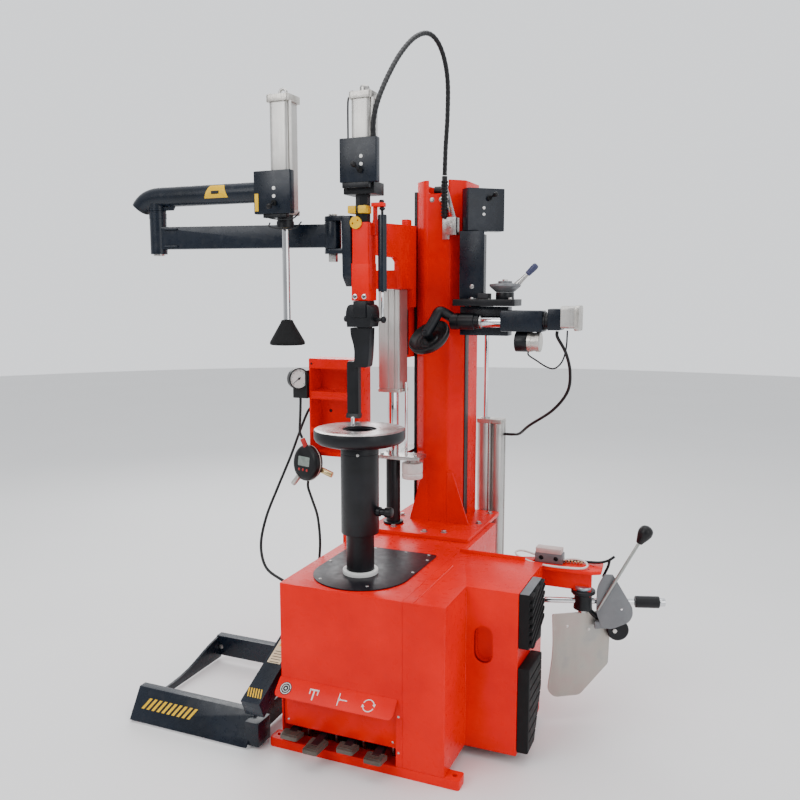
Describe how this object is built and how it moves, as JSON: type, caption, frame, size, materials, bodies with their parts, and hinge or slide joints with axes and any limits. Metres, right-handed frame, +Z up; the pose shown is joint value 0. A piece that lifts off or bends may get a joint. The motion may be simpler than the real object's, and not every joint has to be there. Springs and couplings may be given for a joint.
{
  "type": "tire changer",
  "caption": "Leverless workshop tire changer: steel cabinet, driven disc turntable, rear column, pneumatic tool arm, swinging helper arm, disc arm, wheel lift and side bead breaker.",
  "frame": {"origin": "on the floor, on the axis of the turntable spindle", "axes": "+Z up along the spindle; +X to the right along the cabinet's front, towards the bead breaker; +Y to the back, towards the column"},
  "size_m": [1.8607, 1.2676, 2.435],
  "materials": {
    "red_paint": "glossy red powder coat",
    "black_paint": "satin black powder coat",
    "black_rubber": "moulded, matte",
    "hose_rubber": "smooth, satin",
    "cast_aluminium": "cast, satin",
    "anodised_aluminium": "clear anodised extrusion",
    "cast_iron": "cast, painted dark",
    "plain_steel": "machined",
    "polished_chrome": "polished",
    "zinc_plate": "zinc plated, dull",
    "black_plastic": "moulded, satin"
  },
  "bodies": {
    "frame": {"base_frame": "red_paint", "cabinet": "red_paint", "top_cover": "black_paint", "pedal_panel": "red_paint", "upper_pad": "black_rubber", "lower_pad": "black_rubber", "spindle_housing": "cast_iron", "drive_motor": "cast_iron", "column": "red_paint", "lift_post": "black_paint", "rear_cylinder": "anodised_aluminium", "hose_guide": "plain_steel", "tool_tray": "red_paint", "pressure_gauge": "black_plastic", "tyre_inflator": "black_plastic", "top_hose": "hose_rubber", "tray_supply_hose": "hose_rubber", "gauge_hose": "hose_rubber", "inflator_hose": "hose_rubber"},
    "turntable": {"turntable_disc": "plain_steel", "spindle_post": "black_paint"},
    "motor_rotor": {"motor_shaft": "plain_steel"},
    "drive_pin": {"drive_pin": "plain_steel"},
    "inflation_pedal": {"inflation_pedal": "cast_aluminium"},
    "lift_pedal": {"lift_pedal": "cast_aluminium"},
    "clamp_pedal": {"clamp_pedal": "cast_aluminium"},
    "rotation_pedal": {"rotation_pedal": "cast_aluminium"},
    "tool_slide": {"tool_carriage": "red_paint", "lift_cylinder": "anodised_aluminium", "tool_arm": "red_paint", "head_cylinder": "anodised_aluminium", "head_control_box": "black_paint", "tool_shaft": "cast_iron", "helper_bracket": "black_paint", "tool_head": "black_paint", "gas_spring": "black_paint"},
    "tool_finger": {"tool_finger": "black_paint"},
    "head_lever": {"head_lever": "black_plastic"},
    "helper_beam": {"helper_beam": "black_paint"},
    "press_arm": {"press_tube": "black_paint", "press_cylinder": "anodised_aluminium", "press_control_box": "black_paint"},
    "press_rod": {"press_rod": "polished_chrome", "press_cone": "black_rubber"},
    "press_lever": {"press_lever": "black_plastic"},
    "disc_slide": {"disc_carriage": "black_paint", "disc_arm_housing": "black_paint", "disc_control_box": "black_paint", "arm_air_line": "hose_rubber", "arm_hose": "hose_rubber"},
    "disc_shaft": {"disc_arm_shaft": "black_paint"},
    "bead_disc": {"bead_disc": "black_plastic"},
    "disc_lever": {"disc_lever": "black_plastic"},
    "clamp_lever": {"clamp_lever": "plain_steel"},
    "lift_arm": {"lift_arm": "black_paint"},
    "lift_platform": {"lift_platform": "black_paint"},
    "breaker_arm": {"breaker_arm": "red_paint"},
    "breaker_rod": {"breaker_rod": "polished_chrome"},
    "breaker_shovel": {"breaker_blade": "zinc_plate"},
    "breaker_handle": {"breaker_lever": "zinc_plate"}
  },
  "joints": [
    {"name": "turntable_spin", "type": "hinge", "parent": "frame", "child": "turntable", "pos_m": [0, 0, 0.7], "axis": [0, 0, 1], "continuous": true},
    {"name": "motor_spin", "type": "hinge", "parent": "frame", "child": "motor_rotor", "pos_m": [0, 0.2, 0.2], "axis": [0, 1, 0], "continuous": true},
    {"name": "drive_pin_press", "type": "slide", "parent": "turntable", "child": "drive_pin", "axis": [0, 0, -1], "range_m": [0, 0.02], "stiffness_N_per_m": 400},
    {"name": "inflation_pedal_press", "type": "hinge", "parent": "frame", "child": "inflation_pedal", "pos_m": [-0.16, -0.11, 0.1], "axis": [1, 0, 0], "range_deg": [0, 8], "stiffness_Nm_per_rad": 60, "springref_deg": -2.86},
    {"name": "lift_pedal_press", "type": "hinge", "parent": "frame", "child": "lift_pedal", "pos_m": [-0.055, -0.11, 0.1], "axis": [1, 0, 0], "range_deg": [0, 8], "stiffness_Nm_per_rad": 60, "springref_deg": -2.86},
    {"name": "clamp_pedal_press", "type": "hinge", "parent": "frame", "child": "clamp_pedal", "pos_m": [0.045, -0.11, 0.1], "axis": [1, 0, 0], "range_deg": [0, 8], "stiffness_Nm_per_rad": 60, "springref_deg": -2.86},
    {"name": "rotation_pedal_press", "type": "hinge", "parent": "frame", "child": "rotation_pedal", "pos_m": [0.15, -0.11, 0.1], "axis": [1, 0, 0], "range_deg": [0, 8], "stiffness_Nm_per_rad": 60, "springref_deg": -2.86},
    {"name": "tool_arm_lift", "type": "slide", "parent": "frame", "child": "tool_slide", "axis": [0, 0, 1], "range_m": [-0.16, 0]},
    {"name": "finger_tilt", "type": "hinge", "parent": "tool_slide", "child": "tool_finger", "pos_m": [-0.059, 0.17, 1.418], "axis": [1, 0, 0], "range_deg": [-6, 6]},
    {"name": "head_lever_tilt", "type": "hinge", "parent": "tool_slide", "child": "head_lever", "pos_m": [-0.04, 0.104, 1.905], "axis": [1, 0, 0], "range_deg": [0, 10], "stiffness_Nm_per_rad": 1},
    {"name": "helper_swing", "type": "hinge", "parent": "tool_slide", "child": "helper_beam", "pos_m": [-0.18, 0.175, 1.7], "axis": [0, 0, 1], "range_deg": [-35, 50]},
    {"name": "press_arm_swing", "type": "hinge", "parent": "helper_beam", "child": "press_arm", "pos_m": [-0.828, 0.059, 1.8], "axis": [0, 0, 1], "range_deg": [-110, 0]},
    {"name": "press_rod_stroke", "type": "slide", "parent": "press_arm", "child": "press_rod", "axis": [0, 0, -1], "range_m": [0, 0.25]},
    {"name": "press_lever_tilt", "type": "hinge", "parent": "press_arm", "child": "press_lever", "pos_m": [-0.3, -0.008, 1.8], "axis": [1, 0, 0], "range_deg": [0, 10], "stiffness_Nm_per_rad": 1},
    {"name": "disc_arm_lift", "type": "slide", "parent": "frame", "child": "disc_slide", "axis": [0, 0, 1], "range_m": [-0.34, 0.08]},
    {"name": "disc_shaft_slide", "type": "slide", "parent": "disc_slide", "child": "disc_shaft", "axis": [1, 0, 0], "range_m": [0, 0.06]},
    {"name": "bead_disc_spin", "type": "hinge", "parent": "disc_shaft", "child": "bead_disc", "pos_m": [0.057, 0.486, 1.3445], "axis": [-0.2349, -0.6328, 0.7378], "continuous": true},
    {"name": "disc_lever_tilt", "type": "hinge", "parent": "disc_slide", "child": "disc_lever", "pos_m": [0.232, 0.6563, 1.86], "axis": [0.7558, 0.6548, 0], "range_deg": [0, 10], "stiffness_Nm_per_rad": 1},
    {"name": "clamp_lever_turn", "type": "hinge", "parent": "disc_slide", "child": "clamp_lever", "pos_m": [0.316, 0.6, 1.52], "axis": [0, 0, 1], "range_deg": [-80, 20]},
    {"name": "wheel_lift_raise", "type": "hinge", "parent": "frame", "child": "lift_arm", "pos_m": [-0.26, 0.12, 0.336], "axis": [-1, 0, 0], "range_deg": [0, 34]},
    {"name": "platform_level", "type": "hinge", "parent": "lift_arm", "child": "lift_platform", "pos_m": [-0.3, -0.272, 0.15], "axis": [-1, 0, 0], "range_deg": [-34, 0]},
    {"name": "breaker_arm_swing", "type": "hinge", "parent": "frame", "child": "breaker_arm", "pos_m": [0.48, 0.4, 0.5], "axis": [0, 0, 1], "range_deg": [-4, 40]},
    {"name": "breaker_rod_slide", "type": "slide", "parent": "breaker_arm", "child": "breaker_rod", "axis": [0.9468, 0.3219, 0], "range_m": [0, 0.06]},
    {"name": "blade_turn", "type": "hinge", "parent": "breaker_arm", "child": "breaker_shovel", "pos_m": [0.672, 0.395, 0.4], "axis": [0, 0, 1], "range_deg": [-8, 8]},
    {"name": "handle_pull", "type": "hinge", "parent": "breaker_rod", "child": "breaker_handle", "pos_m": [0.747, 0.395, 0.42], "axis": [0.3219, -0.9468, 0], "range_deg": [0, 12]}
  ],
  "couplings": [
    {"joint": "motor_spin", "follows": "turntable_spin", "ratio": 8},
    {"joint": "platform_level", "follows": "wheel_lift_raise", "ratio": -1}
  ]
}
